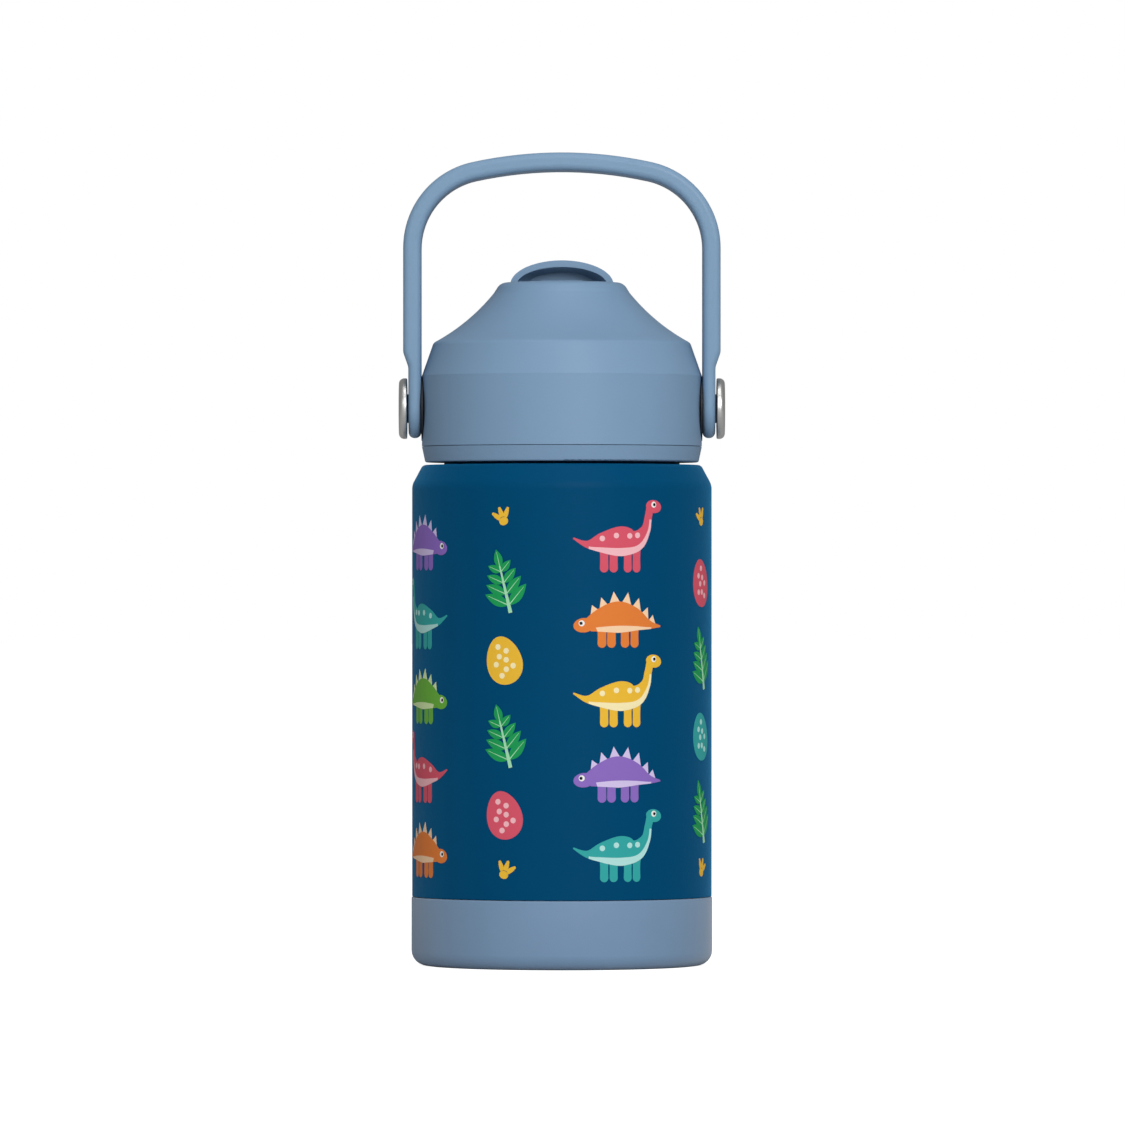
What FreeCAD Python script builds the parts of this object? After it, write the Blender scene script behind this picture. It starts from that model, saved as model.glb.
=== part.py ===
import FreeCAD, Part
import math
import os
import re
import Sketcher

# Children's insulated bottle: steel flask, silicone boot, screw lid with a bail handle
# and a flip-up hooded mouthpiece. Millimetres, +Z up, origin at the centre of the foot.
# The front, where the hood opens, faces -Y. The handle pins lie along X.

Vector = FreeCAD.Vector

SIZES = [
    # flask
    ("body_radius", "36.5", "outer shell"),
    ("shell_wall", "0.8", "outer shell wall"),
    ("boot_height", "16.75", "top edge of the boot"),
    ("boot_wall", "1.65", "boot wall at its side"),
    ("boot_floor", "2.0", "boot thickness underneath"),
    ("boot_proud", "0.15", "boot stands out of the body"),
    ("boot_corner", "3.7", "rounding of the boot's foot"),
    ("shoulder_low", "117.0", "where the shoulder starts"),
    ("body_top", "121.85", "flat top of the body"),
    ("top_radius", "33.9", "shoulder's top corner before rounding"),
    ("neck_radius", "28.7", "outside of the neck"),
    ("neck_wall", "0.6", "wall of the neck"),
    ("mouth_height", "137.0", "top of the mouth lip"),
    ("mouth_radius", "26.0", "inside of the mouth"),
    ("vessel_radius", "33.6", "outside of the inner vessel"),
    ("vessel_wall", "0.6", "inner vessel wall"),
    ("vessel_low", "6.4", "underside of the inner vessel"),
    ("vessel_corner", "3.6", "its lower corner"),
    # screw thread
    ("thread_pitch", "4.0", "rise in one turn"),
    ("thread_rise", "4.0", "height that each thread climbs"),
    ("thread_low", "128.0", "lowest centre of the neck's thread"),
    ("thread_depth", "0.8", "how far each thread stands out"),
    ("thread_root", "1.5", "thread width at its root"),
    ("thread_crest", "0.8", "thread width at its crest"),
    # lid
    ("collar_low", "122.5", "underside of the lid"),
    ("collar_radius", "33.3", "lid at its underside"),
    ("seam_height", "126.3", "top of the core's flange"),
    ("seam_gap", "0.15", "open seam above the flange"),
    ("lid_radius", "34.1", "side wall of the lid"),
    ("band_low", "143.6", "lower edge of the sloping band"),
    ("band_radius", "31.3", "band at its upper edge"),
    ("band_high", "151.6", "upper edge of the band"),
    ("cone_sweep", "48.0", "radius of the hollow cone above"),
    ("turret_foot_radius", "16.6", "cone where it meets the turret corner"),
    ("turret_foot_height", "163.7", "height of that place"),
    ("turret_radius", "14.95", "turret's top corner before rounding"),
    ("lid_top", "166.3", "flat top of the turret"),
    ("lid_cavity_radius", "31.3", "inside of the lid shell"),
    ("lid_cavity_top", "153.4", "underside of the lid's roof"),
    ("core_radius", "31.0", "outside of the threaded core"),
    ("core_inner", "29.8", "inside of its skirt"),
    ("core_roof_low", "139.0", "underside of its roof"),
    ("core_roof_high", "141.0", "top of its roof"),
    ("lip_radius", "25.3", "ring that centres the gasket"),
    ("lip_wall", "1.5", "wall of that ring"),
    ("lip_low", "134.0", "lower end of that ring"),
    # mouthpiece
    ("well_radius", "13.1", "well in the turret"),
    ("well_floor", "159.6", "floor of the well"),
    ("well_back", "6.3", "where the round well ends"),
    ("slot_half", "5.3", "half width of the hub slot"),
    ("slot_back", "12.9", "back wall of the hub slot"),
    ("flip_y", "9.2", "mouthpiece axis, behind the centre"),
    ("flip_z", "163.6", "mouthpiece axis, height"),
    ("hub_radius", "3.4", "mouthpiece hub"),
    ("hub_half", "5.0", "half width of the hub"),
    ("hood_half", "12.6", "half width of the hood"),
    ("hood_depth", "10.5", "length of the full hood behind its arch"),
    ("hood_rise", "6.0", "height of the arch"),
    ("hood_wall", "1.6", "thickness of the hood"),
    ("hood_foot", "165.7", "lower edge of the hood"),
    ("arch_y", "-1.5", "place of the arch"),
    ("hood_back", "6.0", "where the hood is cut off behind"),
    ("socket_y", "2.5", "front of the nozzle's socket"),
    ("nozzle_tip", "-9.0", "front end of the nozzle"),
    ("nozzle_high", "2.2", "half height of the nozzle"),
    ("nozzle_wide", "4.4", "half width of the nozzle"),
    ("root_high", "1.65", "half height of its root"),
    ("root_wide", "3.9", "half width of its root"),
    ("root_end", "5.5", "inner end of its root"),
    ("drink_bore", "1.3", "bore through hub and nozzle"),
    ("hinge_pin_radius", "1.25", "mouthpiece hinge pins"),
    ("hinge_pin_inner", "2.6", "inner end of each hinge pin"),
    ("hinge_pin_outer", "7.6", "outer end of each hinge pin"),
    # drinking path
    ("port_radius", "3.0", "port seal"),
    ("port_seat", "157.6", "bottom of the port seal"),
    ("stem_radius", "4.5", "straw stem"),
    ("stem_top", "154.4", "upper end of the stem"),
    ("spigot_radius", "3.05", "stem inside the straw"),
    ("spigot_low", "130.5", "lower end of the stem"),
    ("stem_bore", "1.9", "bore of the stem"),
    ("flange_radius", "6.4", "stem flange"),
    ("flange_low", "142.8", "underside of the flange"),
    ("straw_radius", "4.0", "straw"),
    ("straw_inner", "3.1", "bore of the straw"),
    ("straw_low", "9.0", "lower end of the straw"),
    ("straw_high", "138.8", "upper end of the straw"),
    ("vent_y", "-12.0", "place of the vent valve"),
    # handle
    ("pin_height", "135.6", "axis of the handle pins"),
    ("handle_top", "197.8", "top of the handle"),
    ("handle_half", "38.6", "outer half width of the handle"),
    ("handle_thick", "4.35", "thickness of the strap"),
    ("handle_width", "14.4", "width of the strap"),
    ("crown_radius", "102.4", "bend of the handle's top"),
    ("elbow_radius", "21.3", "bend of its corners"),
    ("leg_outer", "37.35", "outer face of the thin lower leg"),
    ("step_low", "145.6", "lower end of the step in the leg"),
    ("step_high", "149.2", "upper end of the step"),
    ("bush_radius", "3.5", "bush in the leg"),
    ("washer_radius", "7.9", "washer flange of the bush"),
    ("washer_inner", "33.75", "face of the flange towards the lid"),
    ("washer_outer", "34.2", "face of the flange towards the leg"),
    ("shank_radius", "2.5", "shank of the handle pin"),
    ("shank_end", "31.25", "inner end of the shank"),
    ("cap_inner", "37.7", "inner face of the pin's cap"),
    ("cap_outer", "39.7", "outer face of the pin's cap"),
    ("cap_radius", "7.4", "pin cap"),
    ("retainer_radius", "4.6", "push nut inside the lid wall"),
    ("running", "0.05", "radial clearance of a turning fit"),
]

document = FreeCAD.newDocument("kids_bottle")
sheet = document.addObject("Spreadsheet::Sheet", "Sizes")
for row, (alias, amount, meaning) in enumerate(SIZES, start=1):
    sheet.set(f"A{row}", meaning)
    sheet.set(f"B{row}", amount)
    sheet.setAlias(f"B{row}", alias)
document.recompute()

ALIASES = {alias for alias, _, _ in SIZES}
parts = []


def bound(text):
    """The expression with every size name pointing at the sheet."""
    def point(match):
        word = match.group()
        return "Sizes." + word if word in ALIASES else word
    return re.sub(r"[a-z][a-z_]*", point, text)


def number(text):
    """The expression's value in millimetres."""
    return float(sheet.evalExpression(text))


# ---------------------------------------------------------------- sketch helpers

def new_body(label):
    body = document.addObject("PartDesign::Body", label)
    body.Label = label
    parts.append(body)
    return body


def new_sketch(body, name, role, offset="0"):
    """A sketch on one of the body's origin planes, moved along the plane's normal."""
    sketch = body.newObject("Sketcher::SketchObject", f"{body.Label}_{name}")
    plane = next(item for item in body.Origin.OriginFeatures if item.Role == role)
    sketch.AttachmentSupport = (plane, "")
    sketch.MapMode = "FlatFace"
    sketch.setExpression("AttachmentOffset.Base.z", bound(offset))
    return sketch


def constrain(sketch, kind, targets, text):
    index = sketch.addConstraint(Sketcher.Constraint(kind, *targets, number(text)))
    sketch.setExpression(f"Constraints[{index}]", bound(text))


def arc_middle(start, end, radius):
    """Middle of the arc from start to end; a positive radius bends it to the right."""
    chord = end - start
    half = chord.Length / 2
    sagitta = abs(radius) - math.sqrt(max(radius * radius - half * half, 0))
    side = Vector(chord.y, -chord.x, 0).normalize()
    return (start + end) * 0.5 + side * math.copysign(sagitta, radius)


def outline(sketch, corners, bends=None):
    """A closed outline through the corners. bends maps a corner's index to the radius
    of the arc that leaves it; a radius that starts with '-' bends the arc the other way.
    A half round has no radius constraint: its centre lies midway between its ends."""
    bends = bends or {}
    points = [Vector(number(x), number(y), 0) for x, y in corners]
    count = len(points)
    ends = []
    for index, start in enumerate(points):
        end = points[(index + 1) % count]
        if index in bends:
            radius = number(bends[index])
            edge = Part.Arc(start, arc_middle(start, end, radius), end)
            geometry = sketch.addGeometry(edge)
            swapped = sketch.getPoint(geometry, 1).distanceToPoint(start) > 1e-6
            ends.append((geometry, 2, 1) if swapped else (geometry, 1, 2))
        else:
            geometry = sketch.addGeometry(Part.LineSegment(start, end))
            ends.append((geometry, 1, 2))
    for index, (geometry, first, last) in enumerate(ends):
        following = ends[(index + 1) % count]
        join = Sketcher.Constraint("Coincident", geometry, last, following[0], following[1])
        sketch.addConstraint(join)
        x, y = corners[index]
        constrain(sketch, "DistanceX", (-1, 1, geometry, first), x)
        constrain(sketch, "DistanceY", (-1, 1, geometry, first), y)
    for index, radius in bends.items():
        geometry = ends[index][0]
        chord = (points[(index + 1) % count] - points[index]).Length
        if chord > 2 * abs(number(radius)) - 1e-6:
            half_round = Sketcher.Constraint("Symmetric", geometry, 1, geometry, 2, geometry, 3)
            sketch.addConstraint(half_round)
        else:
            constrain(sketch, "Radius", (geometry,), radius.lstrip("-"))
    document.recompute()
    return sketch


def circle(sketch, x, y, radius):
    centre = Vector(number(x), number(y), 0)
    geometry = sketch.addGeometry(Part.Circle(centre, Vector(0, 0, 1), number(radius)))
    constrain(sketch, "DistanceX", (-1, 1, geometry, 3), x)
    constrain(sketch, "DistanceY", (-1, 1, geometry, 3), y)
    constrain(sketch, "Radius", (geometry,), radius)
    return sketch


def rectangle(sketch, left, bottom, right, top):
    return outline(sketch, [(left, bottom), (right, bottom), (right, top), (left, top)])


def stadium(sketch, y, half_width, half_height):
    """A slot with round ends, lying across the sketch at height y."""
    run = f"({half_width} - {half_height})"
    corners = [
        (f"0 - {run}", f"{y} + {half_height}"),
        (run, f"{y} + {half_height}"),
        (run, f"{y} - {half_height}"),
        (f"0 - {run}", f"{y} - {half_height}"),
    ]
    return outline(sketch, corners, {1: f"-{half_height}", 3: f"-{half_height}"})


# ---------------------------------------------------------------- feature helpers

def volume_of(body):
    return body.Shape.Volume if not body.Shape.isNull() else 0.0


def feature(body, kind, sketch, grows, **settings):
    """Adds a sketch-based feature and stops if it didn't change the body as it should."""
    document.recompute()
    before = volume_of(body)
    item = body.newObject(f"PartDesign::{kind}", f"{sketch.Name}_{kind.lower()}")
    item.Profile = sketch
    for name, setting in settings.items():
        if isinstance(setting, str) and name in ("Length", "Pitch", "Height"):
            item.setExpression(name, bound(setting))
        else:
            setattr(item, name, setting)
    sketch.Visibility = False
    document.recompute()
    change = volume_of(body) - before
    if (change > 1e-6) != grows or abs(change) < 1e-6:
        raise RuntimeError(f"{item.Name} changed the volume by {change}")
    return item


def revolve(body, name, corners, bends=None, role="XZ_Plane", axis="V_Axis"):
    sketch = outline(new_sketch(body, name, role), corners, bends)
    return feature(body, "Revolution", sketch, True, ReferenceAxis=(sketch, [axis]), Angle=360)


def pad(body, sketch, length, middle=False, reverse=False):
    return feature(body, "Pad", sketch, True, Length=length, Midplane=middle, Reversed=reverse)


def pocket(body, sketch, length, middle=False, reverse=False):
    return feature(body, "Pocket", sketch, False, Length=length, Midplane=middle, Reversed=reverse)


def ring_edges(body, rings, axis="Z"):
    """Names of the circular edges with these radii and heights along the axis."""
    wanted = [(number(radius), number(height)) for radius, height in rings]
    names = []
    for index, edge in enumerate(body.Shape.Edges, start=1):
        if not isinstance(edge.Curve, Part.Circle):
            continue
        centre = edge.Curve.Center
        along = {"X": centre.x, "Z": centre.z}[axis]
        for radius, height in wanted:
            if abs(edge.Curve.Radius - radius) < 0.01 and abs(along - height) < 0.01:
                names.append(f"Edge{index}")
    return names


def line_edges(body, test):
    """Names of the edges whose middle point passes the test."""
    names = []
    for index, edge in enumerate(body.Shape.Edges, start=1):
        middle = edge.valueAt((edge.FirstParameter + edge.LastParameter) / 2)
        if test(edge, middle):
            names.append(f"Edge{index}")
    return names


def dress(body, kind, names, size, radius_name):
    if not names:
        raise RuntimeError(f"{body.Label} has no such edge to dress")
    base = body.Tip
    item = body.newObject(f"PartDesign::{kind}", f"{body.Label}_{kind.lower()}")
    item.Base = (base, names)
    item.setExpression(radius_name, bound(size))
    document.recompute()
    if "Invalid" in item.State:
        raise RuntimeError(f"{item.Name} failed")
    body.Tip = item
    return item


def fillet(body, names, radius):
    return dress(body, "Fillet", names, radius, "Radius")


def thread(body, name, centre, root, tip):
    """One helical ridge. Its section runs from the root radius to the tip radius."""
    sketch = new_sketch(body, name, "XZ_Plane")
    outline(sketch, [
        (root, f"{centre} - thread_root / 2"),
        (tip, f"{centre} - thread_crest / 2"),
        (tip, f"{centre} + thread_crest / 2"),
        (root, f"{centre} + thread_root / 2"),
    ])
    return feature(body, "AdditiveHelix", sketch, True, ReferenceAxis=(sketch, ["V_Axis"]),
                   Mode=0, Pitch="thread_pitch", Height="thread_rise")


# ---------------------------------------------------------------- flask

def make_outer_shell():
    body = new_body("outer_shell")
    recess = "(body_radius + boot_proud - boot_wall - 0.1)"
    revolve(body, "wall", [
        (f"{recess} - 1.2", "boot_floor + 0.1"),
        (recess, "boot_floor + 1.3"),
        (recess, "boot_height + 0.15"),
        ("body_radius", "boot_height + 0.15"),
        ("body_radius", "shoulder_low"),
        ("top_radius", "body_top"),
        ("neck_radius", "body_top"),
        ("neck_radius", "mouth_height - shell_wall - 0.05"),
        ("neck_radius - neck_wall", "mouth_height - shell_wall - 0.05"),
        ("neck_radius - neck_wall", "body_top - shell_wall"),
        ("top_radius - 0.9", "body_top - shell_wall"),
        ("body_radius - shell_wall", "shoulder_low - 0.3"),
        ("body_radius - shell_wall", "boot_height + 0.15 + shell_wall"),
        (f"{recess} - shell_wall", "boot_height + 0.15 + shell_wall"),
        (f"{recess} - shell_wall", "boot_floor + 1.6"),
        (f"{recess} - 1.9", "boot_floor + 0.1"),
    ])
    fillet(body, ring_edges(body, [("top_radius", "body_top")]), "1.3")
    fillet(body, ring_edges(body, [("body_radius", "shoulder_low")]), "4.0")
    thread(body, "thread", "thread_low", "neck_radius - 0.2", "neck_radius + thread_depth")


def make_inner_vessel():
    body = new_body("inner_vessel")
    inside = "(vessel_radius - vessel_wall)"
    revolve(body, "wall", [
        ("0", "vessel_low"),
        ("vessel_radius - vessel_corner", "vessel_low"),
        ("vessel_radius", "vessel_low + vessel_corner"),
        ("vessel_radius", "shoulder_low - 7"),
        ("mouth_radius + vessel_wall", "body_top - 2"),
        ("mouth_radius + vessel_wall", "mouth_height - shell_wall"),
        ("neck_radius", "mouth_height - shell_wall"),
        ("neck_radius", "mouth_height"),
        ("mouth_radius", "mouth_height"),
        ("mouth_radius", "body_top - 2.2"),
        (inside, "shoulder_low - 7.2"),
        (inside, "vessel_low + vessel_corner"),
        ("vessel_radius - vessel_corner", "vessel_low + vessel_wall"),
        ("0", "vessel_low + vessel_wall"),
    ], {1: "vessel_corner", 11: "-(vessel_corner - vessel_wall)"})
    fillet(body, ring_edges(body, [("neck_radius", "mouth_height")]), "0.35")


def make_outer_base_cap():
    body = new_body("outer_base_cap")
    edge = "(body_radius + boot_proud - boot_wall - 2.05)"
    revolve(body, "disc", [
        ("0", "boot_floor + 0.7"),
        ("24", "boot_floor + 0.7"),
        ("25", "boot_floor + 0.1"),
        (edge, "boot_floor + 0.1"),
        (edge, "boot_floor + 0.1 + shell_wall"),
        ("25.4", "boot_floor + 0.1 + shell_wall"),
        ("24.4", "boot_floor + 0.7 + shell_wall"),
        ("0", "boot_floor + 0.7 + shell_wall"),
    ])


def make_vacuum_getter():
    body = new_body("vacuum_getter")
    low = "(boot_floor + 0.75 + shell_wall)"
    revolve(body, "cup", [
        ("0", low), ("5", low), ("5", f"{low} + 1.8"), ("4.5", f"{low} + 1.8"),
        ("4.5", f"{low} + 0.9"), ("0", f"{low} + 0.9"),
    ])


def make_silicone_boot():
    body = new_body("silicone_boot")
    outside = "(body_radius + boot_proud)"
    inside = "(body_radius + boot_proud - boot_wall)"
    revolve(body, "wall", [
        ("0", "0.5"),
        ("23", "0.5"),
        ("24", "0"),
        (f"{outside} - boot_corner", "0"),
        (outside, "boot_corner"),
        (outside, "boot_height"),
        (inside, "boot_height"),
        (inside, "boot_floor + 1.2"),
        (f"{inside} - 1.2", "boot_floor"),
        ("0", "boot_floor"),
    ], {3: "boot_corner"})
    fillet(body, ring_edges(body, [("body_radius + boot_proud", "boot_height")]), "0.4")


# ---------------------------------------------------------------- lid

def make_neck_gasket():
    body = new_body("neck_gasket")
    revolve(body, "ring", [
        ("lip_radius + 0.15", "mouth_height + 0.05"),
        ("neck_radius - 0.1", "mouth_height + 0.05"),
        ("neck_radius - 0.1", "core_roof_low - 0.05"),
        ("lip_radius + 0.15", "core_roof_low - 0.05"),
    ])


def make_threaded_core():
    body = new_body("threaded_core")
    revolve(body, "cup", [
        ("core_inner", "collar_low"),
        ("collar_radius", "collar_low"),
        ("lid_radius", "seam_height"),
        ("core_radius", "seam_height"),
        ("core_radius", "core_roof_high"),
        ("0", "core_roof_high"),
        ("0", "core_roof_low"),
        ("lip_radius - lip_wall", "core_roof_low"),
        ("lip_radius - lip_wall", "lip_low"),
        ("lip_radius", "lip_low"),
        ("lip_radius", "core_roof_low"),
        ("core_inner", "core_roof_low"),
    ])
    fillet(body, ring_edges(body, [("collar_radius", "collar_low")]), "0.5")
    fillet(body, ring_edges(body, [("core_radius", "core_roof_high")]), "1.0")
    top = "core_roof_high"
    stem = circle(new_sketch(body, "stem_hole", "XY_Plane", top), "0", "flip_y", "stem_radius + 0.15")
    pocket(body, stem, "core_roof_high - core_roof_low + 0.1")
    vent = circle(new_sketch(body, "vent_hole", "XY_Plane", top), "0", "vent_y", "1.5")
    pocket(body, vent, "core_roof_high - core_roof_low + 0.1")
    thread(body, "thread", "thread_low - thread_pitch / 2", "core_inner + 0.2",
           "core_inner - thread_depth")


def make_lid_shell():
    body = new_body("lid_shell")
    revolve(body, "wall", [
        ("lid_cavity_radius", "seam_height + seam_gap"),
        ("lid_radius", "seam_height + seam_gap"),
        ("lid_radius", "band_low"),
        ("band_radius", "band_high"),
        ("turret_foot_radius", "turret_foot_height"),
        ("turret_radius", "lid_top"),
        ("0", "lid_top"),
        ("0", "lid_cavity_top"),
        ("20", "lid_cavity_top"),
        ("26.5", "lid_cavity_top - 1.8"),
        ("28.9", "lid_cavity_top - 3.2"),
        ("lid_cavity_radius", "band_low - 1.1"),
    ], {3: "-cone_sweep"})
    fillet(body, ring_edges(body, [("band_radius", "band_high")]), "1.5")
    fillet(body, ring_edges(body, [("turret_radius", "lid_top")]), "2.6")
    boss = circle(new_sketch(body, "boss", "XY_Plane", "lid_cavity_top - 7"), "0", "flip_y",
                  "flange_radius")
    pad(body, boss, "7.5")
    well = new_sketch(body, "well", "XY_Plane", "lid_top")
    reach = "sqrt(well_radius ^ 2 - well_back ^ 2)"
    outline(well, [(reach, "well_back"), (f"0 - {reach}", "well_back"), ("0", "0 - well_radius")],
            {1: "well_radius", 2: "well_radius"})
    pocket(body, well, "lid_top - well_floor")
    slot = rectangle(new_sketch(body, "slot", "XY_Plane", "lid_top"), "0 - slot_half",
                     "well_back - 0.5", "slot_half", "slot_back")
    pocket(body, slot, "lid_top - well_floor")
    seat = circle(new_sketch(body, "seat", "XY_Plane", "well_floor"), "0", "flip_y",
                  "port_radius + 0.05")
    pocket(body, seat, "well_floor - port_seat")
    port = circle(new_sketch(body, "port", "XY_Plane", "port_seat"), "0", "flip_y", "1.7")
    pocket(body, port, "port_seat - stem_top")
    stem = circle(new_sketch(body, "stem_bore", "XY_Plane", "stem_top + 0.1"), "0", "flip_y",
                  "stem_radius + 0.1")
    pocket(body, stem, "stem_top + 0.1 - lid_cavity_top + 7")
    air = circle(new_sketch(body, "air_hole", "XY_Plane", "well_floor"), "0", "vent_y + 3", "0.8")
    pocket(body, air, "well_floor - lid_cavity_top")
    # hinge pin sockets of the mouthpiece, both cheeks at once
    socket = circle(new_sketch(body, "hinge_socket", "YZ_Plane"), "flip_y", "flip_z",
                    "hinge_pin_radius + running")
    pocket(body, socket, "2 * hinge_pin_outer + 0.4", middle=True)
    # bores and pockets of the two handle pins
    bore = circle(new_sketch(body, "pin_bore", "YZ_Plane"), "0", "pin_height", "shank_radius")
    pocket(body, bore, "2 * lid_radius + 2", middle=True)
    recess = circle(new_sketch(body, "nut_recess", "YZ_Plane"), "0", "pin_height",
                    "retainer_radius + 0.4")
    pocket(body, recess, "2 * (lid_cavity_radius + 1)", middle=True)
    # flat round seats of the washer flanges, one on each side
    depth = "lid_radius + 1 - washer_inner + 0.05"
    for label, start in (("right", "lid_radius + 1"), ("left", "0.05 - washer_inner")):
        seat = circle(new_sketch(body, f"{label}_washer_seat", "YZ_Plane", start), "0",
                      "pin_height", "washer_radius + 0.2")
        pocket(body, seat, depth)


def make_straw_stem():
    body = new_body("straw_stem")
    high = "(flange_low + 1.4)"
    revolve(body, "tube", [
        ("stem_bore", "spigot_low"),
        ("spigot_radius", "spigot_low"),
        ("spigot_radius", "core_roof_low"),
        ("stem_radius", "core_roof_low"),
        ("stem_radius", "flange_low"),
        ("flange_radius - 0.1", "flange_low"),
        ("flange_radius - 0.1", high),
        ("stem_radius", high),
        ("stem_radius", "stem_top"),
        ("stem_bore", "stem_top"),
    ])
    body.setExpression("Placement.Base.y", bound("flip_y"))


def ring_part(label, inner, outer, low, high, y="0"):
    """A plain ring around a vertical axis at x = 0."""
    body = new_body(label)
    revolve(body, "ring", [(inner, low), (outer, low), (outer, high), (inner, high)])
    body.setExpression("Placement.Base.y", bound(y))
    return body


def make_vent_valve():
    body = new_body("vent_valve")
    revolve(body, "umbrella", [
        ("0", "core_roof_low - 1.2"),
        ("2", "core_roof_low - 1.2"),
        ("4.2", "core_roof_low - 0.5"),
        ("4.2", "core_roof_low - 0.05"),
        ("1.45", "core_roof_low - 0.05"),
        ("1.45", "core_roof_high + 0.05"),
        ("2.1", "core_roof_high + 0.1"),
        ("1.2", "core_roof_high + 1.4"),
        ("0", "core_roof_high + 1.4"),
    ])
    body.setExpression("Placement.Base.y", bound("vent_y"))


def make_drinking_straw():
    body = ring_part("drinking_straw", "straw_inner", "straw_radius", "straw_low", "straw_high",
                     "flip_y")
    notch = new_sketch(body, "notch", "XZ_Plane")
    outline(notch, [("0 - 2.2", "straw_low - 0.1"), ("2.2", "straw_low - 0.1"),
                    ("0", "straw_low + 3")])
    pocket(body, notch, "2 * straw_radius + 1", middle=True)


# ---------------------------------------------------------------- handle

def along_x(name, corners, side, bends=None):
    """A body turned about X, on the right (side 1) or the left (side -1). The corners
    are (distance along X, radius); the body's own origin lies on the pin axis."""
    body = new_body(name)
    placed = [(x if side > 0 else f"0 - ({x})", radius) for x, radius in corners]
    revolve(body, "turned", placed, bends, axis="H_Axis")
    return body


def lift_to_pin(body):
    body.setExpression("Placement.Base.z", bound("pin_height"))


def make_handle_pins():
    for label, side in (("right", 1), ("left", -1)):
        pin = along_x(f"{label}_handle_pin", [
            ("shank_end", "0"), ("shank_end", "shank_radius"), ("cap_inner", "shank_radius"),
            ("cap_inner", "cap_radius"), ("cap_outer", "cap_radius"), ("cap_outer", "0"),
        ], side)
        sign = "" if side > 0 else "0 - "
        fillet(pin, ring_edges(pin, [("cap_radius", f"{sign}cap_outer")], "X"), "1.3")
        fillet(pin, ring_edges(pin, [("cap_radius", f"{sign}cap_inner")], "X"), "0.3")
        lift_to_pin(pin)
        nut = along_x(f"{label}_pin_retainer", [
            ("shank_end + 0.2", "shank_radius"), ("shank_end + 0.9", "shank_radius"),
            ("shank_end + 0.9", "retainer_radius"), ("shank_end + 0.2", "retainer_radius"),
        ], side)
        lift_to_pin(nut)
        bush = along_x(f"{label}_handle_bush", [
            ("washer_inner", "shank_radius + running"),
            ("cap_inner - 0.05", "shank_radius + running"),
            ("cap_inner - 0.05", "bush_radius"),
            ("washer_outer", "bush_radius"),
            ("washer_outer", "washer_radius"),
            ("washer_inner", "washer_radius"),
        ], side)
        lift_to_pin(bush)


def make_carry_handle():
    body = new_body("carry_handle")
    inner_half = "(handle_half - handle_thick)"
    crown_z = "(handle_top - crown_radius)"
    spread = "(handle_half - elbow_radius)"
    gap = "(crown_radius - elbow_radius)"
    elbow_z = f"({crown_z} + sqrt({gap} ^ 2 - {spread} ^ 2))"
    low = "(pin_height - handle_width / 2)"

    def join_x(radius):
        return f"({radius} * {spread} / {gap})"

    def join_z(radius):
        return f"({crown_z} + {radius} * ({elbow_z} - {crown_z}) / {gap})"

    inner_crown = "(crown_radius - handle_thick)"
    right_outer = [
        ("leg_outer", low),
        ("leg_outer", "step_low"),
        ("handle_half", "step_high"),
        ("handle_half", elbow_z),
        (join_x("crown_radius"), join_z("crown_radius")),
    ]
    right_inner = [
        (inner_half, low),
        (inner_half, elbow_z),
        (join_x(inner_crown), join_z(inner_crown)),
    ]

    def mirrored(corners):
        return [(f"0 - {x}", z) for x, z in reversed(corners)]

    corners = right_outer + mirrored(right_outer) + mirrored(right_inner)[::-1] + right_inner[::-1]
    sketch = new_sketch(body, "strap", "XZ_Plane")
    outline(sketch, corners, {
        3: "elbow_radius", 4: "crown_radius", 5: "elbow_radius",
        11: "-(elbow_radius - handle_thick)", 12: f"-{inner_crown}",
        13: "-(elbow_radius - handle_thick)",
    })
    pad(body, sketch, "handle_width", middle=True)
    foot = number(low)
    half_width = number("handle_width / 2")
    reach = number("handle_half")

    def at_foot(edge, middle):
        return abs(middle.z - foot) < 0.01 and abs(abs(middle.y) - half_width) < 0.01

    fillet(body, line_edges(body, at_foot), "handle_width / 2 - 0.05")

    def at_step(edge, middle):
        near = min(abs(middle.z - number("step_low")), abs(middle.z - number("step_high")))
        return near < 0.01 and abs(middle.x) > reach - 2 and abs(middle.y) < 0.01

    fillet(body, line_edges(body, at_step), "3.0")
    hole = circle(new_sketch(body, "bore", "YZ_Plane"), "0", "pin_height", "bush_radius")
    pocket(body, hole, "2 * handle_half + 2", middle=True)

    def on_rim(edge, middle):
        return abs(abs(middle.y) - half_width) < 0.01 and middle.z > number("pin_height")

    fillet(body, line_edges(body, on_rim), "1.45")


# ---------------------------------------------------------------- mouthpiece

def ellipsoid(name, half_x, half_y, rise):
    item = document.addObject("Part::Ellipsoid", name)
    item.setExpression("Radius1", bound(rise))
    item.setExpression("Radius2", bound(half_x))
    item.setExpression("Radius3", bound(half_y))
    item.Angle1 = -90
    item.Angle2 = 90
    item.Angle3 = 360
    item.setExpression("Placement.Base.y", bound("arch_y"))
    item.setExpression("Placement.Base.z", bound("hood_foot"))
    return item


def block(name, low, high):
    """A box between two corners, each a triple of expressions."""
    item = document.addObject("Part::Box", name)
    for side, axis, start, end in zip(("Length", "Width", "Height"), "xyz", low, high):
        item.setExpression(side, bound(f"({end}) - ({start})"))
        item.setExpression(f"Placement.Base.{axis}", bound(start))
    return item


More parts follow.
